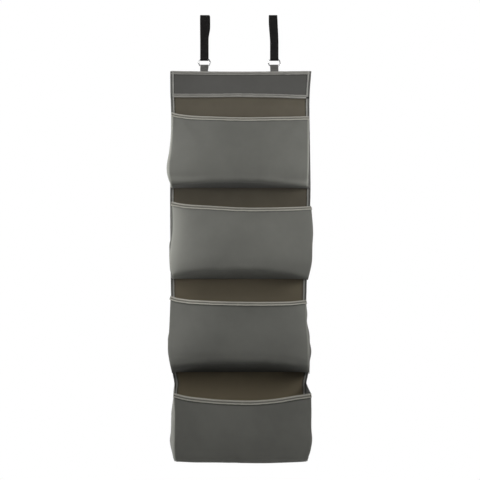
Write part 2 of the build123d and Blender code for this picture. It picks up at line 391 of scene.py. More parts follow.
def cloth_material(name, color, weave=0.55, bump=0.35, mottled=0.16, lighten=(2.1, 2.1, 2.1), rough=0.86, sheen=0.25):
    """Plain-woven matte cloth: fine over-and-under threads, slubs, faint creases and lint."""
    m, nt, bs = nodes_of(name)
    uv = n_(nt, "ShaderNodeUVMap", uv_map="weave").outputs[0]
    obj = n_(nt, "ShaderNodeTexCoord").outputs["Object"]
    sep = n_(nt, "ShaderNodeSeparateXYZ")
    nt.links.new(uv, sep.inputs[0])
    f = 2 * math.pi / (weave * MM)
    wx = math_(nt, "SINE", math_(nt, "MULTIPLY", sep.outputs[0], f))
    wy = math_(nt, "SINE", math_(nt, "MULTIPLY", sep.outputs[1], f))
    cross = math_(nt, "MULTIPLY", wx, wy)
    cell = math_(nt, "ADD", math_(nt, "MULTIPLY", cross, 0.5), 0.5)
    slub = noise_(nt, obj, 900.0, 2.0, 0.6)
    broad = noise_(nt, obj, 9.0, 4.0, 0.6)
    mid = noise_(nt, obj, 60.0, 4.0, 0.6)
    lint = ramp_(nt, noise_(nt, obj, 420.0, 2.0, 0.5), 0.70, 0.80)
    dark = tuple(c * (1 - mottled) for c in color)
    light = tuple(min(1, c * (1 + mottled)) for c in color)
    c1 = mix_(nt, ramp_(nt, broad, 0.3, 0.7), dark, light)
    c2 = mix_(nt, ramp_(nt, mid, 0.25, 0.75), tuple(c * 0.93 for c in color), tuple(min(1, c * 1.07) for c in color))
    c3 = mix_(nt, 0.5, c1, c2)
    c4 = mix_(nt, math_(nt, "MULTIPLY", cell, 0.35), c3, tuple(c * 0.62 for c in color))
    c5 = mix_(nt, math_(nt, "MULTIPLY", slub, 0.25), c4, tuple(min(1, c * 1.35) for c in color))
    c6 = mix_(nt, math_(nt, "MULTIPLY", lint, 0.12), c5, tuple(min(1, c * 2.2 + 0.02) for c in color))
    # painted highlight where the tone attribute is above zero and painted shade where it is below: highlights on
    # creases and edges, painted shadow beside seams and under the bellies
    tone = n_(nt, "ShaderNodeAttribute", attribute_name="tone", attribute_type="GEOMETRY").outputs["Fac"]
    up = math_(nt, "MULTIPLY", ramp_(nt, tone, 0.0, 1.0), 1.0)
    down = ramp_(nt, math_(nt, "MULTIPLY", tone, -1.0), 0.0, 1.0)
    c7 = mix_(nt, up, c6, tuple(min(1, c * w + 0.01) for c, w in zip(color, lighten)))
    c8 = mix_(nt, down, c7, tuple(c * 0.22 for c in color))
    nt.links.new(c8, bs.inputs["Base Color"])
    rr = ramp_(nt, mid, 0.2, 0.8, rough - 0.06, min(1, rough + 0.07))
    nt.links.new(rr, bs.inputs["Roughness"])
    bs.inputs["Sheen Weight"].default_value = sheen
    bs.inputs["Sheen Roughness"].default_value = 0.5
    bs.inputs["Specular IOR Level"].default_value = 0.25
    h = math_(nt, "ADD", math_(nt, "MULTIPLY", cross, 0.00006),
              math_(nt, "ADD", math_(nt, "MULTIPLY", slub, 0.00009), math_(nt, "MULTIPLY", mid, 0.0006)))
    b = n_(nt, "ShaderNodeBump")
    b.inputs["Strength"].default_value = bump
    b.inputs["Distance"].default_value = 1.0
    nt.links.new(h, b.inputs["Height"])
    nt.links.new(b.outputs[0], bs.inputs["Normal"])
    return m


def tape_material(name, color, rib=0.62, bump=0.6, rough=0.8, sheen=0.15, light=(), dark=()):
    """Woven binding tape or ribbon: fine ribs across its length, lighter on its sharpest edges, with painted highlights
    along its raised ridges and painted shade in its grooves.
    """
    m, nt, bs = nodes_of(name)
    uv = n_(nt, "ShaderNodeUVMap", uv_map="weave").outputs[0]
    obj = n_(nt, "ShaderNodeTexCoord").outputs["Object"]
    sep = n_(nt, "ShaderNodeSeparateXYZ")
    nt.links.new(uv, sep.inputs[0])
    along, width = (sep.outputs[1], sep.outputs[0])
    f = 2 * math.pi / (rib * MM)
    ribs = math_(nt, "SINE", math_(nt, "MULTIPLY", along, f))
    fine = math_(nt, "SINE", math_(nt, "MULTIPLY", width, f * 1.4))
    fib = noise_(nt, obj, 1100.0, 2.0, 0.6)
    broad = noise_(nt, obj, 25.0, 3.0, 0.6)
    c1 = mix_(nt, ramp_(nt, broad, 0.3, 0.7), tuple(c * 0.85 for c in color), tuple(min(1, c * 1.12) for c in color))
    c2 = mix_(nt, ramp_(nt, ribs, -0.9, 0.9, 0.0, 0.4), c1, tuple(c * 0.6 for c in color))
    c3 = mix_(nt, math_(nt, "MULTIPLY", fib, 0.3), c2, tuple(min(1, c * 1.5) for c in color))
    geo = n_(nt, "ShaderNodeNewGeometry")
    lighten = ramp_(nt, geo.outputs["Pointiness"], 0.50, 0.56)
    c4 = mix_(nt, math_(nt, "MULTIPLY", lighten, 0.30), c3, tuple(min(1, c * 1.6 + 0.02) for c in color))
    # lines along the tape: painted highlights on its raised ridges, painted shade in its stitched grooves and beside
    # its edges
    for marks, gain in ((dark, 0.30), (light, 1.75)):
        for place, reach, share in marks:
            off = math_(nt, "ABSOLUTE", math_(nt, "SUBTRACT", width, place * MM))
            fac = math_(nt, "MULTIPLY", ramp_(nt, off, reach * 0.35 * MM, reach * MM, 1.0, 0.0), share)
            c4 = mix_(nt, fac, c4, tuple(min(1, c * gain) for c in color))
    nt.links.new(c4, bs.inputs["Base Color"])
    nt.links.new(ramp_(nt, fib, 0.2, 0.8, rough - 0.08, rough + 0.08), bs.inputs["Roughness"])
    bs.inputs["Sheen Weight"].default_value = sheen
    bs.inputs["Sheen Roughness"].default_value = 0.45
    bs.inputs["Specular IOR Level"].default_value = 0.3
    h = math_(nt, "ADD", math_(nt, "MULTIPLY", ribs, 0.00007),
              math_(nt, "ADD", math_(nt, "MULTIPLY", fine, 0.00003), math_(nt, "MULTIPLY", fib, 0.00012)))
    b = n_(nt, "ShaderNodeBump")
    b.inputs["Strength"].default_value = bump
    b.inputs["Distance"].default_value = 1.0
    nt.links.new(h, b.inputs["Height"])
    nt.links.new(b.outputs[0], bs.inputs["Normal"])
    return m


def thread_material(name, color):
    m, nt, bs = nodes_of(name)
    obj = n_(nt, "ShaderNodeTexCoord").outputs["Object"]
    w = n_(nt, "ShaderNodeTexWave", wave_type="BANDS", bands_direction="DIAGONAL")
    w.inputs["Scale"].default_value = 900
    w.inputs["Distortion"].default_value = 0.6
    nt.links.new(obj, w.inputs["Vector"])
    c = mix_(nt, w.outputs["Fac"], tuple(c * 0.7 for c in color), tuple(min(1, c * 1.25) for c in color))
    nt.links.new(c, bs.inputs["Base Color"])
    nt.links.new(ramp_(nt, w.outputs["Fac"], 0, 1, 0.55, 0.75), bs.inputs["Roughness"])
    b = n_(nt, "ShaderNodeBump")
    b.inputs["Strength"].default_value = 0.4
    b.inputs["Distance"].default_value = 0.0001
    nt.links.new(w.outputs["Fac"], b.inputs["Height"])
    nt.links.new(b.outputs[0], bs.inputs["Normal"])
    return m


def pile_material(name, color, scale, stiff):
    """Hook or loop pile."""
    m, nt, bs = nodes_of(name)
    obj = n_(nt, "ShaderNodeTexCoord").outputs["Object"]
    v = n_(nt, "ShaderNodeTexVoronoi", feature="F1")
    v.inputs["Scale"].default_value = scale
    nt.links.new(obj, v.inputs["Vector"])
    fuzz = noise_(nt, obj, scale * 2.5, 4.0, 0.7)
    c = mix_(nt, ramp_(nt, v.outputs["Distance"], 0.1, 0.8), tuple(min(1, c * 2.6 + 0.006) for c in color), tuple(c * 0.4 for c in color))
    c = mix_(nt, math_(nt, "MULTIPLY", fuzz, 0.5), c, color)
    nt.links.new(c, bs.inputs["Base Color"])
    nt.links.new(ramp_(nt, fuzz, 0.2, 0.8, 0.6 if stiff else 0.85, 0.95), bs.inputs["Roughness"])
    bs.inputs["Sheen Weight"].default_value = 0.1 if stiff else 0.5
    h = math_(nt, "ADD", math_(nt, "MULTIPLY", v.outputs["Distance"], -0.0006), math_(nt, "MULTIPLY", fuzz, 0.0004))
    b = n_(nt, "ShaderNodeBump")
    b.inputs["Strength"].default_value = 0.8
    b.inputs["Distance"].default_value = 1.0
    nt.links.new(h, b.inputs["Height"])
    nt.links.new(b.outputs[0], bs.inputs["Normal"])
    return m


def chrome_material(name):
    m, nt, bs = nodes_of(name)
    obj = n_(nt, "ShaderNodeTexCoord").outputs["Object"]
    scr = noise_(nt, obj, 700.0, 3.0, 0.7)
    haze = noise_(nt, obj, 80.0, 3.0, 0.6)
    nt.links.new(mix_(nt, ramp_(nt, haze, 0.3, 0.75), (0.62, 0.62, 0.63), (0.80, 0.80, 0.80)), bs.inputs["Base Color"])
    bs.inputs["Metallic"].default_value = 1.0
    nt.links.new(ramp_(nt, haze, 0.3, 0.8, 0.10, 0.24), bs.inputs["Roughness"])
    b = n_(nt, "ShaderNodeBump")
    b.inputs["Strength"].default_value = 0.12
    b.inputs["Distance"].default_value = 0.0001
    nt.links.new(scr, b.inputs["Height"])
    nt.links.new(b.outputs[0], bs.inputs["Normal"])
    return m


def board_material(name):
    m, nt, bs = nodes_of(name)
    obj = n_(nt, "ShaderNodeTexCoord").outputs["Object"]
    fib = noise_(nt, obj, 350.0, 5.0, 0.7)
    spot = ramp_(nt, noise_(nt, obj, 900.0, 2.0, 0.5), 0.62, 0.72)
    c = mix_(nt, fib, (0.27, 0.20, 0.13), (0.42, 0.33, 0.22))
    nt.links.new(mix_(nt, math_(nt, "MULTIPLY", spot, 0.5), c, (0.16, 0.11, 0.07)), bs.inputs["Base Color"])
    nt.links.new(ramp_(nt, fib, 0.2, 0.8, 0.8, 0.95), bs.inputs["Roughness"])
    b = n_(nt, "ShaderNodeBump")
    b.inputs["Strength"].default_value = 0.3
    b.inputs["Distance"].default_value = 0.0002
    nt.links.new(fib, b.inputs["Height"])
    nt.links.new(b.outputs[0], bs.inputs["Normal"])
    return m


M_HEADER = cloth_material("header_cloth", (0.116, 0.114, 0.107))
# the panel is a darker cloth than the pockets; its warm tint is painted bounce light from the shade behind the pockets
M_PANEL = cloth_material("panel_cloth", (0.141, 0.125, 0.094), lighten=(2.2, 2.0, 1.6))
M_POCKET = cloth_material("pocket_cloth", (0.164, 0.165, 0.148))
# the light and dark lines on these tapes are painted highlights on their raised edges and painted shade in their
# grooves and on the edge tape's outer side
M_BIND = tape_material("binding_tape", (0.281, 0.273, 0.238), light=[(1.5, 1.5, 0.8), (7.8, 1.6, 0.7)], dark=[(4.6, 1.9, 0.75)])
M_EDGE = tape_material("edge_tape", (0.262, 0.260, 0.243), light=[(1.7, 1.5, 0.7)], dark=[(6.2, 3.0, 0.7)])
M_TRIM = tape_material("header_tape", (0.287, 0.281, 0.258), light=[(6.2, 1.3, 0.35)], dark=[(3.4, 1.2, 0.4)])
M_TAB = tape_material("tab_ribbon", (0.152, 0.149, 0.141), rib=1.45, bump=0.9, sheen=0.08)
M_WEB = tape_material("strap_webbing", (0.0046, 0.0037, 0.0034), rib=1.3, bump=0.8, rough=0.72, sheen=0.02)
M_THREAD = thread_material("grey_thread", (0.20, 0.195, 0.17))
M_THREAD_B = thread_material("black_thread", (0.02, 0.018, 0.017))
M_LOOP = pile_material("loop_pile", (0.012, 0.011, 0.010), 1500, False)
M_HOOK = pile_material("hook_pile", (0.010, 0.010, 0.010), 1100, True)
M_CHROME = chrome_material("ring_chrome")
M_BOARD = board_material("header_board")


def paint(ob, mat):
    ob.data.materials.clear()
    ob.data.materials.append(mat)
    return ob


# ---------------------------------------------------------------- shared outlines
# left and right edges of the back panel, as image places by image height
PANEL_L = [(71, 170.1), (95, 170.3), (112, 170.9), (150, 170.4), (195, 169.9), (240, 170.1), (285, 170.6), (330, 171.6), (362, 171.9), (373, 172.4), (383, 174.0), (392, 173.3), (425, 173.4), (464, 173.8)]
PANEL_R = [(71, 311.5), (95, 309.8), (112, 309.7), (150, 310.3), (195, 310.7), (240, 309.0), (285, 306.9), (330, 306.6), (350, 307.4), (365, 309.0), (371, 308.9), (376, 308.0), (382, 306.8), (392, 306.9), (425, 307.0), (464, 307.0)]
FOLDS = [-197.5, -413.8, -638.4, -863.4]
END_Z = -1054.4
TOP_Z = -117.0
panel_ripple = Ripple(3, 170, 120)


def panel_x(z, side):
    r = row_of(z, 0.0)
    return across(curve(PANEL_L if side < 0 else PANEL_R, r), 0.0, z)


def panel_y(x, z):
    edge = smooth(150, 60, abs(x - PX))
    return 1.3 + 0.55 * panel_ripple(x, z) * edge * smooth(-150, -230, z)


# ---------------------------------------------------------------- back panel
cuts = [-117.8, -311.0, -525.0, -753.0, END_Z]
panel_nodes = [["back_panel_header", "back_panel_1"], ["back_panel_2"], ["back_panel_3"], ["back_panel_4"]]
for i in range(4):
    z0, z1 = cuts[i], cuts[i + 1]
    f = FOLDS[i]
    zs = np.unique(np.concatenate([np.linspace(z0, z1, 44), np.linspace(f + 18, f - 18, 19)]))[::-1]
    us = np.unique(np.concatenate([np.linspace(0, 1, 60), np.linspace(0, 0.045, 9), np.linspace(0.955, 1, 9)]))
    G = np.zeros((len(zs), len(us), 3))
    for a, z in enumerate(zs):
        xl, xr = panel_x(z, -1) + 1.0, panel_x(z, 1) - 1.0
        x = xl + (xr - xl) * us
        G[a] = np.stack([x, panel_y(x, z), np.full_like(x, z)], 1)
    S = np.stack([G[..., 0], G[..., 2]], -1)
    side_gap = np.minimum(G[..., 0] - G[:, :1, 0], G[:, -1:, 0] - G[..., 0])
    rows = row_of(G[..., 2], 0.0)
    # painted shade beside the side tapes, down to just under the header's lower tape and right under the first belly;
    # painted light over the panel in the second and third gaps
    tone = (-0.6 * smooth(12.5, 8.0, side_gap) - 0.13 * smooth(108, 104, rows)
            + 0.33 * smooth(264, 276, rows) * smooth(312, 298, rows) + 0.48 * smooth(358, 371, rows) * smooth(410, 398, rows)
            - 0.30 * smooth(194, 189, rows) * smooth(182, 186, rows) * smooth(150, 60, np.abs(G[..., 0] - PX)))
    ob = paint(sheet_mesh(f"back_panel_cloth_{i + 1}", G, 0.8, S, tone=tone, front_only=True), M_PANEL)
    at(0, 1.3, f + 14)
    at(0, 1.3, f - 14)
    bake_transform(ob)
    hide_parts(*panel_nodes[i])

# ---------------------------------------------------------------- side bindings
tape_nodes = [["side_binding_header", "side_binding_1"], ["side_binding_2"], ["side_binding_3"], ["side_binding_4"]]
for side, s in (("left", -1), ("right", 1)):
    for i in range(4):
        z0 = TOP_Z - 0.2 if i == 0 else cuts[i]
        z1 = cuts[i + 1]
        f = FOLDS[i]
        zs = np.linspace(z0, z1, int((z0 - z1) / 1.6) + 1)
        x = np.array([panel_x(z, s) for z in zs]) - s * 1.1
        path = np.stack([x, np.full_like(x, 1.3), zs], 1)
        core = np.full(len(zs), 0.9)
        if i == 0:                       # round the whole header first, then round the panel alone
            thick = smooth(-186, -176, zs)
            path[:, 1] = 1.3 - 1.85 * thick
            core_t = 0.9 + 3.7 * thick
            made, L, W = [], 0, 0
            pieces = folded_tape(f"{side}_side_tape_{i + 1}", path, np.tile([0, -1.0, 0], (len(zs), 1)),
                                 np.tile([s * 1.0, 0, 0], (len(zs), 1)), 0.9, reach=7.6, seed=20 + i + 5 * (s > 0))
            made, L, W = pieces
            # open the fold where it goes round the header's layers
            for ob in made:
                co = drawn(np.array([v.co for v in ob.data.vertices]) / MM)
                t = smooth(-186, -176, co[:, 2])
                mid = 1.3 - 1.85 * t
                sign = np.sign(mid - co[:, 1])
                co[:, 1] -= sign * 1.85 * t * np.clip(abs(co[:, 1] - mid) / 0.6, 0, 1)
                ob.data.vertices.foreach_set("co", (hung(co) * MM).astype(np.float32).ravel())
                ob.data.update()
        else:
            made, L, W = folded_tape(f"{side}_side_tape_{i + 1}", path, np.tile([0, -1.0, 0], (len(zs), 1)),
                                     np.tile([s * 1.0, 0, 0], (len(zs), 1)), 0.9, reach=7.6, seed=20 + i + 5 * (s > 0))
        paint(made[0], M_EDGE)
        paint(made[1], M_THREAD)
        for ob in made:
            at(0, 1.3, f + 14)
            at(0, 1.3, f - 14)
            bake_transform(ob)
        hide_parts(*[f"{side}_{t}" for t in tape_nodes[i]])

# ---------------------------------------------------------------- header
HEAD_LINE = [(172, 93.9), (205, 94.0), (240, 93.7), (266, 94.0), (306, 95.3)]   # top edge of the lower header tape
TOP_LINE = [(170, 71.2), (205, 71.7), (240, 71.9), (275, 71.7), (311, 71.3)]
head_ripple = Ripple(11, 120, 60)
xs = np.unique(np.concatenate([np.linspace(0, 1, 84), np.linspace(0, 0.045, 9), np.linspace(0.955, 1, 9)]))
zs = np.linspace(0, 1, 48)
G = np.zeros((len(zs), len(xs), 3))
XL0, XR0 = panel_x(-120, -1) + 1.2, panel_x(-120, 1) - 1.2
XL1, XR1 = panel_x(-178, -1) + 1.2, panel_x(-178, 1) - 1.2
for a, t in enumerate(zs):
    xl, xr = XL0 + (XL1 - XL0) * t, XR0 + (XR1 - XR0) * t
    x = xl + (xr - xl) * xs
    px = 240 + (x - CAM[0]) / 2.4
    ztop = height_of(curve(TOP_LINE, px)) - 1.0
    zbot = height_of(curve(HEAD_LINE, px)) - 7.4
    z = ztop + (zbot - ztop) * t
    G[a] = np.stack([x, -2.55 - 0.35 * head_ripple(x, z) * math.sin(math.pi * t) * smooth(0, 0.06, xs) * smooth(1, 0.94, xs), z], 1)
S = np.stack([G[..., 0], G[..., 2]], -1)
side_gap = np.minimum(G[..., 0] - G[:, :1, 0], G[:, -1:, 0] - G[..., 0])
# painted shade along the header's sides, under its top tape and above its lower tape, where the cloth dips at the seams
tone = -0.45 * smooth(12.0, 7.8, side_gap) - 0.6 * smooth(10.5, 6.5, G[:1, :, 2] - G[..., 2]) - 0.85 * smooth(4.2, 0.6, G[..., 2] - G[-1:, :, 2])
ob = paint(sheet_mesh("header_front_cloth", G, 0.8, S, tone=tone), M_HEADER)
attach(ob, "header")
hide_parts("header_front")


def flat_tape(name, line, x0, x1, y, edge_up, core, node, seed, below=0.0, reach=7.4):
    n = int((x1 - x0) / 1.6)
    x = np.linspace(x0, x1, n)
    px = 240 + (x - CAM[0]) / 2.4
    z = height_of(curve(line, px)) + below
    path = np.stack([x, np.full(n, y), z], 1)
    T = unit(np.gradient(path, axis=0))
    out = np.tile([0, -1.0, 0], (n, 1))
    edge = np.cross(out, T) if edge_up else np.cross(T, out)
    edge = edge * np.sign(edge[:, 2:3]) * (1 if edge_up else -1)
    made, L, W = folded_tape(name, path, out, edge, core, reach=reach, seed=seed)
    paint(made[0], M_TRIM)
    paint(made[1], M_THREAD)
    for ob in made:
        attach(ob, "header")
    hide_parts(node)


flat_tape("top_binding_tape", TOP_LINE, panel_x(-118, -1) + 3.0, panel_x(-118, 1) - 3.0, -0.55, True, 4.5, "top_binding", 51, below=-1.0, reach=6.4)
flat_tape("header_binding_tape", HEAD_LINE, XL1 + 8.0, XR1 - 8.0, -2.5, False, 0.9, "header_binding", 57, below=-7.6, reach=7.6)

# ---------------------------------------------------------------- tabs, rings, straps
def strip_grid(path_yz, x_of, width, nw=15, rib=0.0, rib_pitch=1.4, edge_round=0.25):
    """Grid of a strap that follows path_yz (n, 2); x_of gives its middle at each point."""
    path = np.asarray(path_yz, float)
    n = len(path)
    d = np.concatenate([[0], np.cumsum(np.linalg.norm(np.diff(path, axis=0), axis=1))])
    w = np.linspace(-0.5, 0.5, nw)
    T = unit(np.gradient(path, axis=0))
    Nn = np.stack([-T[:, 1], T[:, 0]], 1)
    G = np.zeros((n, nw, 3))
    for j, a in enumerate(w):
        b = rib * np.sin(2 * math.pi * d / rib_pitch)
        G[:, j, 0] = x_of(d, path) + a * width
        G[:, j, 1] = path[:, 0] + Nn[:, 0] * b
        G[:, j, 2] = path[:, 1] + Nn[:, 1] * b
    st = np.stack(np.meshgrid(w * width, d), -1)
    return G, st, d


def rounded(pts, radii, step=0.5):
    """Points along a polyline with rounded corners."""
    out = [np.array(pts[0], float)]
    for i in range(1, len(pts) - 1):
        a, p, b = (np.array(q, float) for q in (pts[i - 1], pts[i], pts[i + 1]))
        u, v = unit(p - a), unit(b - p)
        turn = math.atan2(u[0] * v[1] - u[1] * v[0], float(u @ v))
        r = radii[i]
        if abs(turn) < 1e-4 or r <= 0:
            out.append(p)
            continue
        t = r * math.tan(abs(turn) / 2)
        s = p - u * t
        nrm = np.array([-u[1], u[0]]) * math.copysign(1, turn)
        c = s + nrm * r
        for q in np.linspace(0, turn, max(3, int(abs(turn) * r / 0.4) + 2)):
            R = np.array([[math.cos(q), -math.sin(q)], [math.sin(q), math.cos(q)]])
            out.append(c + R @ (s - c))
    out.append(np.array(pts[-1], float))
    P = np.array(out)
    keep = np.concatenate([[True], np.linalg.norm(np.diff(P, axis=0), axis=1) > 1e-6])
    P = P[keep]
    L = np.linalg.norm(np.diff(P, axis=0), axis=1).sum()
    return resample(P, int(L / step) + 2)


SX = 83.75
RC = 16.7
for side, cx in (("left", -SX), ("right", SX)):
    # ribbon tab
    tp = rounded([(-0.45, -132), (-0.45, -110.5), (-2.2, -107.0), (-2.2, -101.6), (2.2, -101.6), (2.2, -107.0), (0.45, -110.5), (0.45, -132)],
                 [0, 3, 1.8, 1.8, 1.8, 1.8, 3, 0], 0.35)
    off = -0.8 if side == "left" else 0.4
    G, st, d = strip_grid(tp, lambda dd, p: cx + off * smooth(-104, -118, p[:, 1]), 19.6, rib=0.10, rib_pitch=1.45)
    narrow = 1 - (0.05 if side == "left" else 0.0) * smooth(-108, -118, G[:, :, 2])
    G[:, :, 0] = cx + (G[:, :, 0] - cx) * narrow
    ob = paint(sheet_mesh(f"{side}_ribbon_tab", G, 0.7, st), M_TAB)
    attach(ob, "header")
    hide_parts(f"{side}_tab")
    hanging[0] = False
    # fixed webbing: sewn end, fold round the ring, up the front, behind the rod
    lean = 0.0 if side == "left" else -3.0
    skew = 3.4 if side == "left" else 0.0
    back_q = (-0.7, -45.0)
    dq = math.hypot(*back_q)
    a0 = math.degrees(math.atan2(back_q[1], back_q[0])) + math.degrees(math.acos(RC / dq))
    arcp = [(RC * math.cos(math.radians(a)), RC * math.sin(math.radians(a))) for a in np.linspace(a0, 62, 40)]
    low = rounded([(0.8, -68), (0.8, -83), (2.5, -86.6), (2.5, -91.4), (-2.5, -91.4), (-2.5, -86.6), (-0.7, -83), (-0.7, -45.0), arcp[0]],
                  [0, 3, 2, 2, 2, 2, 3, 25, 0], 0.4)
    base = resample(np.vstack([low, arcp[1:]]), 470)
    xf = lambda z, y: cx + lean * smooth(-52, 16, z)
    Gb, stb, db = strip_grid(base, lambda dd, p: xf(p[:, 1], p[:, 0]) + skew * smooth(-40, -8, p[:, 1]) * smooth(-2, 3, p[:, 0]), 20.0, nw=19, rib=0.09, rib_pitch=1.3)
    ob = paint(sheet_mesh(f"{side}_webbing_fixed", Gb, 1.25, stb), M_WEB)
    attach(ob, "straps")
    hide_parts(f"{side}_strap")
    # crown: the stretch over the rod's top, between the fixed webbing and the tail
    crown = np.array([(RC * math.cos(math.radians(a)), RC * math.sin(math.radians(a))) for a in np.linspace(61.2, 118.8, 46)])
    Gc, stc, dc = strip_grid(crown, lambda dd, p: xf(p[:, 1], p[:, 0]) + skew * smooth(-9, 8, p[:, 0]), 20.0, nw=19, rib=0.09, rib_pitch=1.3)
    stc = stc + np.array([0, db[-1]])
    ob = paint(sheet_mesh(f"{side}_webbing_crown", Gc, 1.25, stc), M_WEB)
    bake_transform(ob)
    # tail: down the front, over the hook and loop pads
    fq = (-4.2, -45.0)
    a1 = math.degrees(math.atan2(fq[1], fq[0])) - math.degrees(math.acos(RC / math.hypot(*fq))) + 360
    arcp = [(RC * math.cos(math.radians(a)), RC * math.sin(math.radians(a))) for a in np.linspace(118, a1, 40)]
    tail = rounded([arcp[-1], fq, (-4.2, -88.6)], [0, 25, 0], 0.4)
    tail = resample(np.vstack([arcp[:-1], tail]), 330)
    Gt, stt, dt = strip_grid(tail, lambda dd, p: xf(p[:, 1], p[:, 0]), 20.0, nw=19, rib=0.09, rib_pitch=1.3)
    ob = paint(sheet_mesh(f"{side}_webbing_tail", Gt, 1.25, stt + np.array([0, db[-1] + dc[-1]])), M_WEB)
    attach(ob, f"{side}_tail")
    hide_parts(f"{side}_strap_tail")
    for body, node, mat in (("straps", "loop_pad", M_LOOP), (f"{side}_tail", "hook_pad", M_HOOK)):
        paint(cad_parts[f"{side}_{node}"], mat)
    paint(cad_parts[f"{side}_ring"], M_CHROME)
    # sewn box on the tail where the hook pad is stitched
    spots, dirs, ups = [], [], []
    for z in np.arange(-84.5, -51.0, 2.6):
        for dx in (-8.2, 8.2):
            spots.append(np.array([xf(z, 0) + dx, -4.95, z])); dirs.append(np.array([0, 0, 1.0])); ups.append(np.array([0, -1.0, 0]))
    for x in np.arange(-7.6, 8.0, 2.6):
        for z in (-85.4, -51.4):
            spots.append(np.array([xf(z, 0) + x, -4.95, z])); dirs.append(np.array([1.0, 0, 0])); ups.append(np.array([0, -1.0, 0]))
    ob = paint(thread(f"{side}_tail_stitches", spots, dirs, ups, length=2.0, r=0.2), M_THREAD_B)
    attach(ob, f"{side}_tail")
    hanging[0] = True
paint(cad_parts["header_stiffener"], M_BOARD)

# ---------------------------------------------------------------- pockets
# each profile runs from the mouth over the belly to the seam on the back panel: depth in mm and image height;
# crease and wall are the painted highlight (above zero) and painted shade (below zero) on the front's left and right
# edges and the side walls; shade is painted shade over the whole front and glow a painted highlight toward its ends
POCKETS = [
    dict(mouth=[(172.4, 112.6), (176, 113.7), (185.5, 115.3), (216, 117.0), (241, 117.7), (275, 117.3), (300, 116.8), (308.6, 116.6)],
         mid=[(-35, 117.4), (-54, 131.8), (-71, 147), (-82, 162.5), (-84.5, 174), (-80, 180.5), (-60, 183.2), (-30, 185.8), (-1.2, 187.9)],
         le=[(-4, 114.8), (-16, 129), (-36, 146), (-50, 164), (-54, 174), (-50, 184), (-38, 186.6), (-22, 187.9), (-1.2, 188.3)],
         re=[(-5, 118.1), (-22, 131), (-42, 146), (-56, 164.5), (-60, 175), (-56, 185), (-42, 187.6), (-22, 188.4), (-1.2, 188.4)],
         lc=[(112, 172.6), (125, 172.6), (150, 171.2), (165, 169.2), (178, 169.8), (188, 172.6)],
         lb=[(112, 0), (130, 0.6), (150, 1.9), (165, 2.9), (178, 2.0), (188, 0)],
         rc=[(116, 308.5), (150, 308.6), (175, 308.3), (190, 307.6)],
         rb=[(116, 0), (150, 0.4), (190, 0.4)], crease=(0.55, 1.0), wall=(0.78, -0.6), shade=0.0, glow=(0.0, 0.15)),
    dict(mouth=[(171.8, 201.9), (180, 203.6), (210, 206.1), (240, 207.8), (275, 207.8), (300, 207.1), (311.2, 206.5)],
         mid=[(-36, 207.4), (-54, 222.5), (-71, 238.3), (-82, 253), (-84.5, 262.5), (-80, 269), (-60, 272), (-30, 275.5), (-1.2, 278.8)],
         le=[(-4, 204.1), (-10, 218), (-19, 235.7), (-29, 254), (-34, 264), (-34, 272.8), (-29, 276.6), (-18, 278.6), (-1.2, 278.8)],
         re=[(-6, 206.6), (-26, 219.8), (-46, 236.6), (-60, 254.5), (-64, 266), (-58, 277.4), (-44, 279.6), (-22, 279.8), (-1.2, 279.2)],
         lc=[(201, 171.7), (212, 172.6), (230, 172.8), (245, 171.4), (258, 169.8), (268, 170.6), (276, 172.8)],
         lb=[(201, 0), (235, 0), (257, 1.4), (270, 0.8), (276, 0)],
         rc=[(206, 311.0), (225, 312.4), (245, 312.2), (266, 310.9), (280, 307.8)],
         rb=[(206, 0), (225, 1.3), (245, 1.4), (268, 1.0), (280, 0)], crease=(0.85, 0.15), wall=(-0.35, 0.0), shade=0.0, glow=(0.80, 0.12)),
    dict(mouth=[(170.9, 296.0), (176, 298.0), (185, 299.5), (210, 301.3), (240, 302.1), (272, 302.2), (291, 301.8), (306.0, 300.3)],
         mid=[(-38, 302.2), (-56, 317.2), (-72, 332.8), (-82, 347), (-84.5, 355), (-80, 361), (-60, 364), (-30, 368), (-1.2, 371.8)],
         le=[(-5, 298), (-16, 313), (-31, 332), (-44, 350.4), (-47, 361), (-43, 369.8), (-34, 372.6), (-20, 373.2), (-1.2, 372.2)],
         re=[(-6, 301.4), (-26, 315.8), (-46, 333.6), (-62, 351.4), (-66, 361), (-58, 370), (-42, 373.4), (-20, 373.6), (-1.2, 372.2)],
         lc=[(295, 170.9), (330, 169.4), (350, 168.6), (362, 169.9), (373, 172.2)],
         lb=[(295, 0), (330, 0.7), (350, 2.2), (362, 1.2), (373, 0)],
         rc=[(299, 306.0), (325, 306.6), (345, 308.2), (360, 308.4), (374, 308.6)],
         rb=[(299, 0), (325, 1.2), (351, 3.4), (364, 1.6), (374, 0.8)], crease=(0.2, 0.5), wall=(0.25, 0.1), shade=-0.31, glow=(0.16, 0.35)),
    dict(mouth=[(173.9, 393.3), (185, 396.2), (203.7, 398.6), (230, 400.5), (249, 400.9), (267.5, 400.0), (285, 397.7), (297.5, 395.6), (311.3, 393.6)],
         mid=[(-76, 400.1), (-82, 411.7), (-87, 425.1), (-90, 438.3), (-90.5, 450.5), (-88, 460.6), (-70, 462.8), (-36, 460.2), (-1.2, 456.2)],
         le=[(-72, 393.4), (-76, 407.8), (-79, 422.8), (-82, 437.8), (-82, 449), (-78, 459.6), (-62, 461.6), (-34, 459.6), (-1.2, 456.2)],
         re=[(-73, 393.9), (-77, 408), (-80, 422.9), (-82, 437.9), (-81, 449), (-76, 459), (-62, 461.4), (-34, 459.6), (-1.2, 456.2)],
         lc=[(393, 174.0), (415, 174.9), (434, 174.7), (450, 174.7), (458, 175.4), (466, 177.5)],
         lb=[(393, 0), (405, 1.8), (434, 4.2), (450, 3.4), (461, 1.4), (466, 0.4)],
         rc=[(393, 311.2), (427, 311.0), (446, 310.6), (454, 309.0), (460, 306.6), (466, 305.2)],
         rb=[(393, 0), (405, 1.0), (427, 1.9), (449, 2.5), (458, 1.4), (466, 0.4)], crease=(0.5, 0.30), wall=(1.0, 0.0), shade=-0.24, glow=(0.0, 0.16)),
]
K_HINGE = 3.72


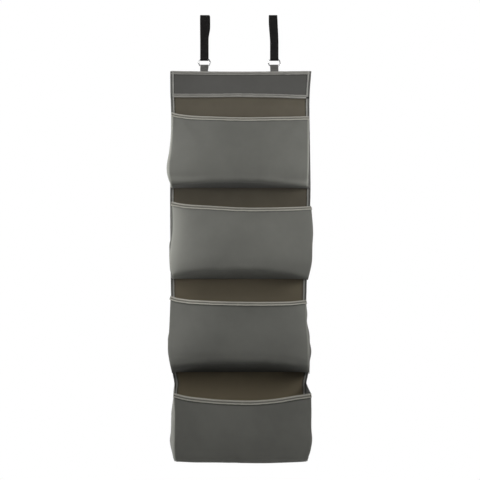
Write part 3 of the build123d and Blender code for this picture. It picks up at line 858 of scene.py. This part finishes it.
def pocket_grid(p, n, us, ks):
    """Points of the pocket's outer sheet at across places us (0..1) and profile places ks (0..8)."""
    mid, le, re = (through([(y, float(height_of(r, y))) for y, r in p[q]], ks) for q in ("mid", "le", "re"))
    G = np.zeros((len(ks), len(us), 3))
    u = us[None, :]
    edge = np.abs(2 * u - 1)
    # how far each place across is from the edge profile to the middle one
    soft = 1 - edge ** np.interp(ks, [0, 2, 4, 6, 7.5, 8], [2.0, 2.5, 2.7, 2.8, 4.5, 5.0])[:, None]
    side = np.where(u < 0.5, 0, 1)
    E = np.where(side[..., None] == 0, le[:, None, :], re[:, None, :])
    yz = E + (mid[:, None, :] - E) * soft[..., None]
    # mouth line from the table, faded out down the front
    xl = lambda tab, yy, zz: across(curve(tab, row_of(zz, yy)), yy, zz)
    XL, XR = xl(p["lc"], le[:, 0], le[:, 1]), xl(p["rc"], re[:, 0], re[:, 1])
    X = XL[:, None] + (XR - XL)[:, None] * u
    zm = height_of(curve(p["mouth"], 240 + (X[0] - CAM[0]) / depth(yz[0, :, 0], yz[0, :, 1])), yz[0, :, 0])
    shift = (zm - yz[0, :, 1])[None, :] * smooth(3.4, 0, ks)[:, None]
    G[..., 0], G[..., 1], G[..., 2] = X, yz[..., 0], yz[..., 1] + shift
    N = grid_normals(G)
    broad, fine = Ripple(100 + n, 190, 110), Ripple(200 + n, 42, 70)
    s = G[..., 2]
    low = smooth(4.6, 3.0, ks)[:, None]
    band = smooth(0, 0.8, ks)[:, None]
    W = 1.5 * broad(X, s) * band * (1 - 0.5 * edge) + 0.28 * fine(X, s) * band * low
    # slack pulls that run down and in from the mouth's ends
    for sd, amp in ((0, 1.3), (1, 1.0)):
        dx = (X - XL[:, None]) if sd == 0 else (XR[:, None] - X)
        dz = s[0:1, :] - s
        W = W + amp * np.exp(-((dx - 12 - 0.75 * dz) / 11) ** 2) * np.exp(-dz / 45) * smooth(2, 14, dz)
        W = W - 0.8 * amp * np.exp(-((dx - 34 - 0.85 * dz) / 15) ** 2) * np.exp(-dz / 50) * smooth(4, 18, dz)
    # small gathers along the lower edge
    W = W + 0.5 * np.exp(-((ks[:, None] - 5.0) / 0.7) ** 2) * np.sin(X / 9.5 + 2 * broad(X * 1.7, s * 0 + n * 40))
    fade = smooth(8.0, 7.0, ks)[:, None] * smooth(0, 0.06, 1 - edge)
    sgn = -1 if N[len(ks) // 3, len(us) // 2, 1] > 0 else 1
    return G + N * (W * fade * sgn)[..., None], sgn


def front_edge(p, n, ks, side):
    G, _ = pocket_grid(p, n, np.array([0.0, 0.01, 0.99, 1.0]), ks)
    return G[:, 0] if side < 0 else G[:, -1]


def belly_tone(n, u, rows):
    """Painted shade under each belly, and a painted highlight where the cloth turns over it toward its ends."""
    off = np.abs(2 * u - 1)
    if n == 1:
        rim = np.interp(u, [0, 0.16, 0.32, 0.5, 0.68, 0.84, 1], [181.5, 182, 180.5, 180.5, 182, 185, 186])
        d = rows - rim
        return (-0.66 + 0.22 * off) * smooth(-0.5, 3.2, d) + (0.10 + 0.24 * smooth(0.25, 0.7, off)) * smooth(-9, -3, d) * smooth(1.5, -1.5, d)
    if n == 4:
        return 0.30 * smooth(458.5, 461, rows)
    rim = {2: 270.5, 3: 361.5}[n] + 2.0 * off ** 2
    d = rows - rim
    side = smooth(0.35, 0.0, u) if n == 3 else 0.0
    return -0.30 * smooth(-0.5, 4, d) + 0.30 * side * smooth(-9, -4, d) * smooth(2, -1.5, d)


for n, p in enumerate(POCKETS, 1):
    sec, mouth = f"section_{n}", f"pocket_{n}_mouth"
    us = np.concatenate([np.linspace(0, 0.02, 6)[:-1], np.linspace(0.02, 0.5, 66)])
    us = np.concatenate([us, 1 - us[-2::-1]])
    k_all = np.concatenate([np.linspace(0, K_HINGE, 58), np.linspace(K_HINGE, 8, 62)[1:]])
    full, sgn = pocket_grid(p, n, us, k_all)
    S = np.zeros(full.shape[:2] + (2,))
    dl = np.concatenate([[0], np.cumsum(np.linalg.norm(np.diff(full[:, 70], axis=0), axis=1))])
    S[..., 0], S[..., 1] = full[..., 0], -dl[:, None]
    cut = 57
    from_l, from_r = full[..., 0] - full[:, :1, 0], full[:, -1:, 0] - full[..., 0]
    under_mouth = np.linalg.norm(full - full[:1], axis=2)
    # painted light and shade on the fronts: highlights on the creased edges, the table's shade and glow, painted shade
    # under each belly and right under the mouth tape
    front_tone = (p["crease"][0] * smooth(3.2, 0.8, from_l) + p["crease"][1] * smooth(3.6, 1.0, from_r)
                  + p["shade"] + p["glow"][0] * np.exp(-np.clip(from_l, 0, None) / 30) + p["glow"][1] * np.exp(-np.clip(from_r, 0, None) / 12)
                  + belly_tone(n, us[None, :], row_of(full[..., 2], full[..., 1])) - 0.55 * smooth(13.5, 10.0, under_mouth) * smooth(1, 4, np.minimum(from_l, from_r)))
    # front, in two halves split down the middle
    for side, cols in (("left", slice(0, 71)), ("right", slice(70, 141))):
        P = full[:cut + 1, cols]
        ob = paint(sheet_mesh(f"pocket_{n}_front_{side}", P, 0.8, S[:cut + 1, cols], flip=False, tone=front_tone[:cut + 1, cols]), M_POCKET)
        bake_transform(ob)
        if side == "left":
            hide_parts(f"pocket_{n}_front")
    # bottom: from the hinge line under the belly to the back seam
    P = full[cut:, :]
    ob = paint(sheet_mesh(f"pocket_{n}_bottom", P, 0.8, S[cut:, :], tone=front_tone[cut:, :]), M_POCKET)
    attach(ob, sec)
    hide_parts(f"pocket_{n}_floor")
    # gussets
    for side, s in (("left", -1), ("right", 1)):
        ks1 = np.linspace(0.0, 5.2, 60)
        ks2 = np.linspace(5.2, 7.97, 40)
        crease = front_edge(p, n, ks1, s)
        under = front_edge(p, n, ks2, s)
        z_top, z_bot = crease[0, 2] + (2.0 if n < 4 else 11.5), under[-1, 2]
        back_z = np.linspace(z_top, z_bot, 60)
        inner = np.stack([np.array([panel_x(z, s) for z in back_z]) - s * 1.6, np.full(60, -1.0), back_z], 1)
        inner[-1] = under[-1]
        top = crease[0] + (inner[0] - crease[0]) * np.linspace(0, 1, 40)[:, None]
        if n == 4:      # the gusset's open top edge sags a little between the panel and the mouth
            tt = np.linspace(0, 1, 40)
            top[:, 2] -= 2.2 * np.sin(math.pi * tt)
        G = coons(top, under, crease, inner)
        v = np.linspace(0, 1, 40)[None, :]
        rows = row_of(G[..., 2], G[..., 1])
        bulge = curve(p["lb"] if s < 0 else p["rb"], rows) * 2.35
        t = np.linspace(0, 1, 60)[:, None]
        crumple = Ripple(300 + 10 * n + (s > 0), 60, 55)
        wave = 1.6 * crumple(G[..., 1] * 1.3, G[..., 2]) * np.sin(math.pi * v) * np.sin(math.pi * np.clip(t, 0.02, 0.98))
        pleat = -2.2 * np.exp(-((v - 0.62) / 0.10) ** 2) * np.sin(math.pi * t) ** 0.7
        G[..., 0] += s * (bulge * (4 * v * (1 - v)) ** 0.6 + wave + pleat)
        wall, crease_tone = p["wall"][s > 0], p["crease"][s > 0]
        # painted highlight on the side walls where wall is above zero and painted shade where it is below, with the
        # crease's highlight along their front edge
        tone = np.where(v < 0.07, max(crease_tone, wall), wall) * np.ones_like(G[..., 0])
        ob = sheet_mesh(f"pocket_{n}_gusset_{side}", G, 0.8, np.stack([G[..., 1], G[..., 2]], -1), tone=tone)
        bm_fix(ob)
        paint(ob, M_POCKET)
        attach(ob, sec)
        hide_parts(f"pocket_{n}_{side}_gusset")
        a = G[1:, 1:] - G[:-1, :-1]
    # mouth binding, folded over the front's top edge
    edge = full[0]
    down = unit(full[4] - full[0])
    T = unit(np.gradient(edge, axis=0))
    out = unit(np.cross(T, down))
    out = out * np.sign(-out[:, 1:2])
    up = unit(np.cross(out, T))
    up = up * np.sign(up[:, 2:3])
    d = np.concatenate([[0], np.cumsum(np.linalg.norm(np.diff(edge, axis=0), axis=1))])
    half = d[70]
    for side, (da, db_) in (("left", (0, half)), ("right", (half, d[-1]))):
        m = int((db_ - da) / 1.5)
        ss = np.linspace(da, db_, m)
        f = lambda arr: np.stack([np.interp(ss, d, arr[:, i]) for i in range(3)], 1)
        made, L, W = folded_tape(f"pocket_{n}_mouth_tape_{side}", f(edge) + f(up) * 0.1, unit(f(out)), unit(f(up)), 0.9,
                                 reach=9.2, seed=70 + 2 * n + (side == "right"))
        paint(made[0], M_BIND)
        paint(made[1], M_THREAD)
        for ob in made:
            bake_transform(ob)
        if side == "left":
            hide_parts(f"pocket_{n}_mouth_binding")

# ---------------------------------------------------------------- stage, light, camera
def quad(name, x0, x1, y0, y1, z):
    me = bpy.data.meshes.new(name)
    me.from_pydata([(x0, y0, z), (x1, y0, z), (x1, y1, z), (x0, y1, z)], [], [(0, 1, 2, 3)])
    ob = bpy.data.objects.new(name, me)
    bpy.context.scene.collection.objects.link(ob)
    return ob


# the floor comes as two sheets: one returns the studio's light, the other is what the camera sees
for name, z, glow in (("floor_bounce", -1.661, 0.0), ("floor_seen", -1.66, 0.62)):
    floor = quad(name, -2.5, 2.5, -3.0, 2.1, z)
    m, nt, bs = nodes_of(name)
    bs.inputs["Base Color"].default_value = (0.86, 0.86, 0.85, 1)
    bs.inputs["Roughness"].default_value = 0.7
    bs.inputs["Emission Color"].default_value = (1.0, 0.995, 0.985, 1)
    bs.inputs["Emission Strength"].default_value = glow
    paint(floor, m)
    if glow:
        floor.visible_diffuse = floor.visible_glossy = floor.visible_transmission = floor.visible_shadow = False
    else:
        floor.visible_camera = False

bpy.context.scene.view_settings.view_transform = "Standard"
world = bpy.data.worlds.new("studio")
bpy.context.scene.world = world
world.use_nodes = True
nt = world.node_tree
bg = nt.nodes["Background"]
bg.inputs[0].default_value = (1.0, 0.985, 0.96, 1)
bg.inputs[1].default_value = 0.02
bg2 = nt.nodes.new("ShaderNodeBackground")
bg2.inputs[0].default_value = (1, 1, 1, 1)
bg2.inputs[1].default_value = 1.0
lp = nt.nodes.new("ShaderNodeLightPath")
mx = nt.nodes.new("ShaderNodeMixShader")
nt.links.new(lp.outputs["Is Camera Ray"], mx.inputs[0])
nt.links.new(bg.outputs[0], mx.inputs[1])
nt.links.new(bg2.outputs[0], mx.inputs[2])
nt.links.new(mx.outputs[0], nt.nodes["World Output"].inputs[0])


def area_light(name, place, aim, size, power, color=(1, 1, 1)):
    li = bpy.data.lights.new(name, "AREA")
    li.shape = "RECTANGLE"
    li.size, li.size_y = size
    li.energy = power
    li.color = color
    ob = bpy.data.objects.new(name, li)
    ob.location = place
    ob.rotation_euler = (Vector(aim) - Vector(place)).to_track_quat("-Z", "Y").to_euler()
    ob.visible_camera = False
    bpy.context.scene.collection.objects.link(ob)


area_light("key", (-0.55, -1.55, 1.05), (0, 0, -0.45), (1.5, 1.0), 13.6)
area_light("front", (0.0, -0.95, -0.30), (0, 0, -0.30), (0.6, 0.4), 2.0)
area_light("front_left", (-1.05, -0.75, -0.25), (0, 0, -0.35), (0.4, 0.5), 0.6)
area_light("front_right", (1.05, -0.75, -0.20), (0, 0, -0.35), (0.4, 0.5), 5.2)
area_light("side_left", (-1.35, 0.10, 0.05), (0, 0, -0.62), (0.5, 0.6), 15.5)
area_light("side_right", (1.35, 0.10, 0.15), (0, 0, -0.50), (0.5, 0.6), 6.0)
area_light("back", (0.4, 1.6, 0.4), (0, 0, -0.5), (1.4, 1.4), 5.0)

cam = bpy.data.cameras.new("camera")
cam.lens = 75.0
cam.sensor_width = 36.0
cam.clip_end = 50
co = bpy.data.objects.new("camera", cam)
co.location = (CAM[0] * MM, CAM[1] * MM, CAM[2] * MM)
co.rotation_euler = (math.pi / 2, 0, 0)
bpy.context.scene.collection.objects.link(co)
bpy.context.scene.camera = co
